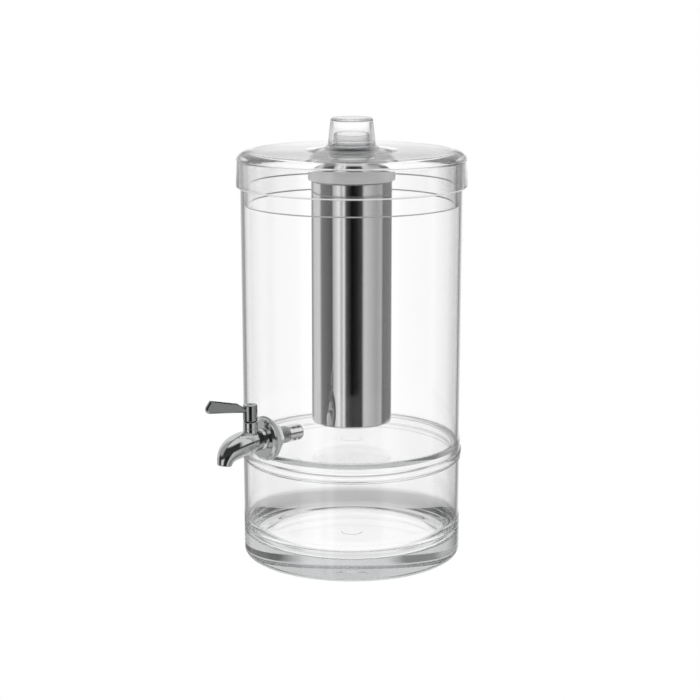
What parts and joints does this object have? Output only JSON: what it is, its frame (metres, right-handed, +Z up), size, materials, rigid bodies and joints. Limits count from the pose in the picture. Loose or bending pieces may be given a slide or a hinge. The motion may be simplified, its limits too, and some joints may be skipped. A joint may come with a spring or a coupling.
{
  "type": "juice dispenser",
  "caption": "Clear round juice jar on a clear pedestal, with a knobbed lid that hangs a steel ice tube inside and a steel lever tap with a curved spout.",
  "frame": {"origin": "centre of the pedestal's underside, on the surface it stands on", "axes": "+Z up along the jar's axis; the tap points along -Y; +X to the right seen from the tap's side"},
  "size_m": [0.2238, 0.2894, 0.4302],
  "materials": {
    "clear_plastic": "clear, polished moulding",
    "polished_steel": "polished stainless steel",
    "silicone": "translucent milky silicone",
    "white_liner": "white sliding plastic",
    "black_rubber": "matt black"
  },
  "bodies": {
    "base": {"base_stand": "clear_plastic"},
    "jar": {"juice_jar": "clear_plastic", "tap_body": "polished_steel", "tap_flange": "polished_steel", "outer_gasket": "silicone", "inner_gasket": "black_rubber", "inner_washer": "silicone", "lock_nut": "polished_steel", "strainer": "polished_steel", "valve_seat": "white_liner", "bonnet": "polished_steel", "dust_ring": "black_rubber"},
    "lever": {"valve_plug": "polished_steel", "stem_o_rings": "black_rubber", "tap_handle": "polished_steel", "handle_screw": "polished_steel"},
    "lid": {"lid": "clear_plastic", "tube_cap": "clear_plastic", "tube_seal": "silicone"},
    "knob": {"lid_knob": "clear_plastic"},
    "tube": {"ice_tube": "polished_steel"}
  },
  "joints": [
    {"name": "jar_lift", "type": "slide", "parent": "base", "child": "jar", "axis": [0, 0, 1], "range_m": [0, 0.05]},
    {"name": "lid_lift", "type": "slide", "parent": "jar", "child": "lid", "axis": [0, 0, 1], "range_m": [0, 0.27]},
    {"name": "knob_turn", "type": "hinge", "parent": "lid", "child": "knob", "pos_m": [0, 0, 0.418], "axis": [0, 0, 1], "range_deg": [0, 360]},
    {"name": "ice_tube_turn", "type": "hinge", "parent": "lid", "child": "tube", "pos_m": [0, 0, 0.376], "axis": [0, 0, -1], "range_deg": [0, 360]},
    {"name": "tap_lever_turn", "type": "hinge", "parent": "jar", "child": "lever", "pos_m": [0, -0.12601, 0.16], "axis": [0, 0, 1], "range_deg": [-90, 90]}
  ]
}
